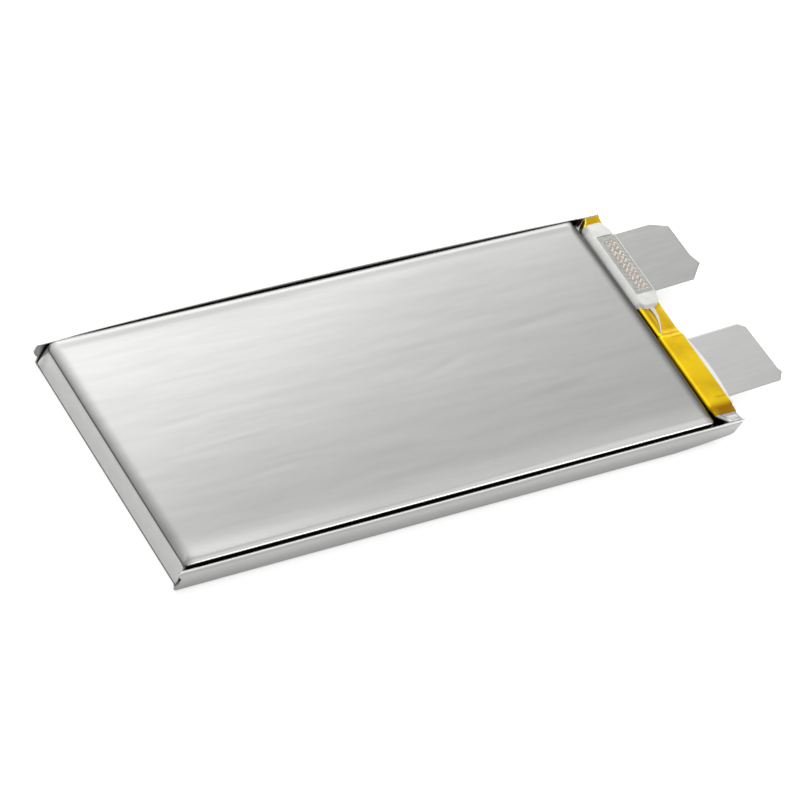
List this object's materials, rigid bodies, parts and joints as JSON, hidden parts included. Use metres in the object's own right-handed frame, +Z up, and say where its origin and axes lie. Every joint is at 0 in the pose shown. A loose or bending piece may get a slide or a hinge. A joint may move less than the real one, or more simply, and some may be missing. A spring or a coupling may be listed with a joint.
{
  "type": "pouch battery cell",
  "caption": "Flat rectangular lithium-ion pouch cell with folded side seals and two strip tabs at one end, for building battery packs.",
  "frame": {"origin": "middle of the whole cell's footprint, tabs included, on the flat bottom face", "axes": "+X along the cell from the folded end towards the tabs, +Y across it towards the positive tab, +Z up through the thickness to the pocket face"},
  "size_m": [0.191, 0.072, 0.0094],
  "materials": {
    "laminate": "smooth silver aluminium-laminated film, satin",
    "aluminium_strip": "satin rolled strip",
    "nickel_strip": "satin rolled nickel strip",
    "plated_copper": "satin nickel-plated copper strip",
    "tab_film": "milky heat-seal film",
    "polyimide": "glossy amber tape over bright film",
    "white_tape": "milky white translucent tape",
    "anode_coat": "matt graphite coating",
    "cathode_coat": "matt dark oxide coating",
    "separator_film": "thin white porous film",
    "green_tape": "green polyester tape"
  },
  "bodies": {
    "root": {"pouch_laminate": "laminate", "terrace_tape": "polyimide", "positive_tab": "aluminium_strip", "nickel_extension": "nickel_strip", "positive_weld_tape": "white_tape", "positive_tab_film_lower": "tab_film", "positive_tab_film_upper": "tab_film", "negative_tab": "plated_copper", "negative_tab_film_lower": "tab_film", "negative_tab_film_upper": "tab_film", "positive_foil_tape": "green_tape", "negative_foil_tape": "green_tape", "separator": "separator_film", "stack_tape_1": "green_tape", "stack_tape_2": "green_tape", "stack_tape_3": "green_tape", "stack_tape_4": "green_tape", "cathode_01": "cathode_coat", "cathode_02": "cathode_coat", "cathode_03": "cathode_coat", "cathode_04": "cathode_coat", "cathode_05": "cathode_coat", "cathode_06": "cathode_coat", "cathode_07": "cathode_coat", "cathode_08": "cathode_coat", "cathode_09": "cathode_coat", "cathode_10": "cathode_coat", "cathode_11": "cathode_coat", "cathode_12": "cathode_coat", "cathode_13": "cathode_coat", "cathode_14": "cathode_coat", "cathode_15": "cathode_coat", "cathode_16": "cathode_coat", "cathode_17": "cathode_coat", "cathode_18": "cathode_coat", "cathode_19": "cathode_coat", "anode_01": "anode_coat", "anode_02": "anode_coat", "anode_03": "anode_coat", "anode_04": "anode_coat", "anode_05": "anode_coat", "anode_06": "anode_coat", "anode_07": "anode_coat", "anode_08": "anode_coat", "anode_09": "anode_coat", "anode_10": "anode_coat", "anode_11": "anode_coat", "anode_12": "anode_coat", "anode_13": "anode_coat", "anode_14": "anode_coat", "anode_15": "anode_coat", "anode_16": "anode_coat", "anode_17": "anode_coat", "anode_18": "anode_coat", "anode_19": "anode_coat", "anode_20": "anode_coat"}
  },
  "joints": []
}
